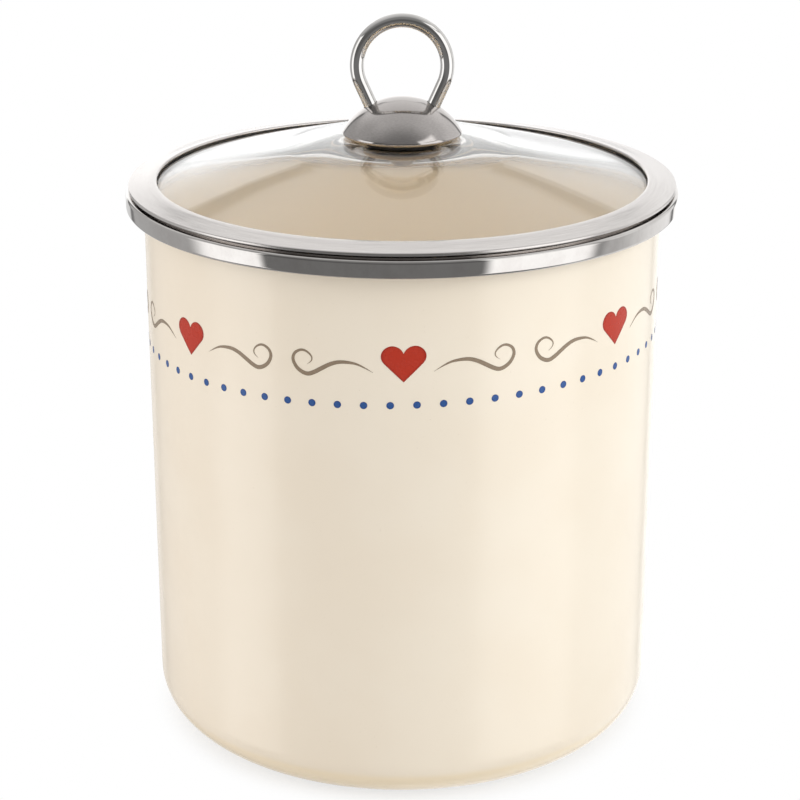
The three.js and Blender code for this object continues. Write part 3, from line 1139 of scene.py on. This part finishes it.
def backdrop_tone(tree, side, right_half, up):
    """White backdrop that dims a little to the right, with its foot on the table."""
    left_foot_tone = 0.75
    right_foot_tone = 1.2
    low_tone = 1.4
    high_tone = 1.1
    right_dimming = 0.18
    foot_tone = blend(tree, right_half, left_foot_tone, right_foot_tone)
    low_dimming = ramp(tree, up, *heights(14, 20), right_dimming, 0.0)
    dim_right = product(tree, ramp(tree, side, 0.05, 0.18), low_dimming)
    tone = product(tree, ramp(tree, up, *heights(10, 20), low_tone, high_tone), rest_of(tree, dim_right))
    return blend(tree, ramp(tree, up, *heights(-12, -7)), foot_tone, tone)


def studio_gloss(tree, side, away, up):
    """What gloss shows: a dark front with two tall panels, a pale ceiling and a white backdrop."""
    panel_tone = 1.45
    gap_tone = 0.22
    line_tone = 0.55
    far_line_tone = 0.95
    edge_rise = 0.09
    backdrop_top = (25.5, 26.5)
    line_top = (29.5, 31)
    azimuth = calc(tree, "ARCTAN2", side, product(tree, away, -1.0))
    off_front = calc(tree, "ABSOLUTE", azimuth)
    right_half = ramp(tree, side, *halves)
    behind = ramp(tree, off_front, *degrees(84, 98))
    ceiling_share = calc(tree, "MAXIMUM", ramp(tree, up, *heights(18, 37)), behind)
    room = blend(tree, ceiling_share, front_tone(tree, up), ceiling_tone(tree, side, away))
    room = blend(tree, all_panels(tree, azimuth, up), room, panel_tone)
    side_share = product(tree, behind, ramp(tree, up, *heights(20, 38), 1.0, 0.0))
    room = blend(tree, side_share, room, side_wall_tone(tree, off_front, right_half, up))
    top_line = calc(tree, "SUBTRACT", up, ramp(tree, off_front, *degrees(165.5, 170), 0.0, edge_rise))
    below_top = ramp(tree, top_line, *heights(*backdrop_top), 1.0, 0.0)
    dark_gap = window(tree, off_front, degrees(144, 149), degrees(151, 155))
    room = blend(tree, product(tree, dark_gap, below_top), room, gap_tone)
    backdrop_side = ramp(tree, off_front, *degrees(150, 155))
    backdrop = backdrop_tone(tree, side, right_half, up)
    room = blend(tree, product(tree, backdrop_side, below_top), room, backdrop)
    line = window(tree, top_line, heights(*backdrop_top), heights(*line_top))
    line_share = product(tree, backdrop_side, line)
    darkening = ramp(tree, off_front, *degrees(166.5, 170.5), line_tone, far_line_tone)
    return product(tree, room, blend(tree, line_share, 1.0, darkening))


def make_world():
    """White behind the object, a soft studio for gloss, and an even light for the rest."""
    even_light = 0.65
    left_lid_light = 2.45
    right_lid_light = 2.95
    mirrored_share = 0.85
    skirt_light = 1.4
    world = bpy.data.worlds.new("studio")
    scene.world = world
    world.use_nodes = True
    tree = world.node_tree
    tree.nodes.clear()
    direction = add_node(tree, "ShaderNodeTexCoord").outputs["Generated"]
    split = add_node(tree, "ShaderNodeSeparateXYZ", {"Vector": direction})
    side, away, up = (split.outputs[axis] for axis in "XYZ")
    rays = add_node(tree, "ShaderNodeLightPath").outputs
    through_glass = rays["Is Transmission Ray"]
    scattered = calc(tree, "GREATER_THAN", rays["Diffuse Depth"], 0.5)
    mirrored = calc(tree, "GREATER_THAN", rays["Glossy Depth"], 0.5)
    upward = calc(tree, "GREATER_THAN", up, 0.0)

    # Metal shows the studio, and glass too where it looks upward
    gloss_share = calc(tree, "MAXIMUM", rays["Is Glossy Ray"], product(tree, through_glass, upward))
    strength = blend(tree, gloss_share, even_light, studio_gloss(tree, side, away, up))

    # The lid's skirt, seen through the glass, mirrors a pale room
    nearer = ramp(tree, away, *halves, 1.0, 0.0)
    strength = blend(tree, product(tree, through_glass, mirrored, nearer, upward), strength, skirt_light)

    # The inside of the pot gets its light through the glass
    lid_light = product(
        tree, ramp(tree, side, -0.6, 0.6, left_lid_light, right_lid_light),
        blend(tree, mirrored, 1.0, mirrored_share),
    )
    strength = blend(tree, product(tree, through_glass, scattered), strength, lid_light)

    # The background is white to the camera, and through the glass where it looks down
    seen_through = product(tree, through_glass, rest_of(tree, upward), rest_of(tree, scattered))
    seen = calc(tree, "MAXIMUM", rays["Is Camera Ray"], seen_through)
    strength = blend(tree, seen, strength, 1.0)
    whole = add_node(tree, "ShaderNodeBackground", {"Color": (1, 1, 1, 1), "Strength": strength})
    output = add_node(tree, "ShaderNodeOutputWorld")
    tree.links.new(whole.outputs[0], output.inputs["Surface"])


# Lamps: name, place in metres, width in metres, power in watts, colour
lamps = [
    ("key_right", (0.95, -0.5, 0.6), 0.7, 5.9, (0.88, 0.94, 0.98)),
    ("fill_left", (-1.15, 0.0, 0.42), 0.7, 4.4, (1, 1, 1)),
    ("top", (0, 0.1, 1.3), 0.8, 3, (1, 1, 1)),
]


def make_lamp(name, place, width, power, colour):
    """Soft square lamp aimed at the object; metal shows the studio's panels instead of it."""
    aim = Vector((0, 0, 0.1))
    light = bpy.data.lights.new(name, "AREA")
    light.size = width
    light.energy = power
    light.color = colour
    lamp = bpy.data.objects.new(name, light)
    scene.collection.objects.link(lamp)
    lamp.location = place
    lamp.rotation_euler = (aim - Vector(place)).to_track_quat("-Z", "Y").to_euler()
    lamp.visible_glossy = False
    lamp.visible_transmission = False


def make_floor():
    """Plain pale floor that is white away from the object and keeps its soft contact shadow."""
    half = 3
    shadow_reach = 0.072
    shadow_fade = 0.012
    shadow_light = 0.72
    cloud_scale = 4
    mesh = bpy.data.meshes.new("floor")
    corners = [(-half, -half, 0), (half, -half, 0), (half, half, 0), (-half, half, 0)]
    mesh.from_pydata(corners, [], [(0, 1, 2, 3)])
    floor = bpy.data.objects.new("floor", mesh)
    scene.collection.objects.link(floor)
    material, tree, shader, place = new_material("floor_white")
    shade = mix_colour(tree, noise(tree, place, cloud_scale), (0.9, 0.9, 0.9, 1), (0.92, 0.92, 0.92, 1))
    drive(tree, shader, Base_Color=shade, Roughness=0.9)
    shader.inputs["Specular IOR Level"].default_value = 0.0
    distance = add_node(tree, "ShaderNodeVectorMath", {0: place}, operation="LENGTH").outputs["Value"]
    rays = add_node(tree, "ShaderNodeLightPath").outputs
    seen = calc(tree, "MAXIMUM", rays["Is Camera Ray"], rays["Is Transmission Ray"])
    white_share = product(tree, seen, ramp(
        tree, distance, shadow_reach, shadow_reach + shadow_fade, shadow_light, 1.0
    ))
    white = add_node(tree, "ShaderNodeEmission", {"Color": (1, 1, 1, 1), "Strength": 1.0})
    surfaces = {0: white_share, 1: shader.outputs[0], 2: white.outputs[0]}
    whole = add_node(tree, "ShaderNodeMixShader", surfaces)
    tree.links.new(whole.outputs[0], tree.nodes["Material Output"].inputs["Surface"])
    mesh.materials.append(material)
    floor.visible_glossy = False


def make_camera():
    """Camera at the photograph's viewing angle: 100 mm lens, looking 20 degrees down."""
    distance = 0.6717
    height = 0.3481
    downward = 20.09
    turned = 0.056
    data = bpy.data.cameras.new("camera")
    data.lens = 100
    data.sensor_width = 36
    data.clip_start = 0.02
    data.clip_end = 20
    camera = bpy.data.objects.new("camera", data)
    scene.collection.objects.link(camera)
    camera.location = (0, -distance, height)
    camera.rotation_euler = (math.radians(90 - downward), 0, math.radians(turned))
    scene.camera = camera


make_camera()
make_world()
make_floor()
for lamp_values in lamps:
    make_lamp(*lamp_values)
scene.view_settings.view_transform = "Standard"

make_enamel_pot()
make_rim_trim()
make_lid_frame()
make_glass_dome()
make_seal_channel()
make_knob_dome()
make_finger_ring()
make_gaskets()
make_cup_washer()
make_lid_screw()
make_border()
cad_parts["knob_core"].data.materials[0] = core_steel
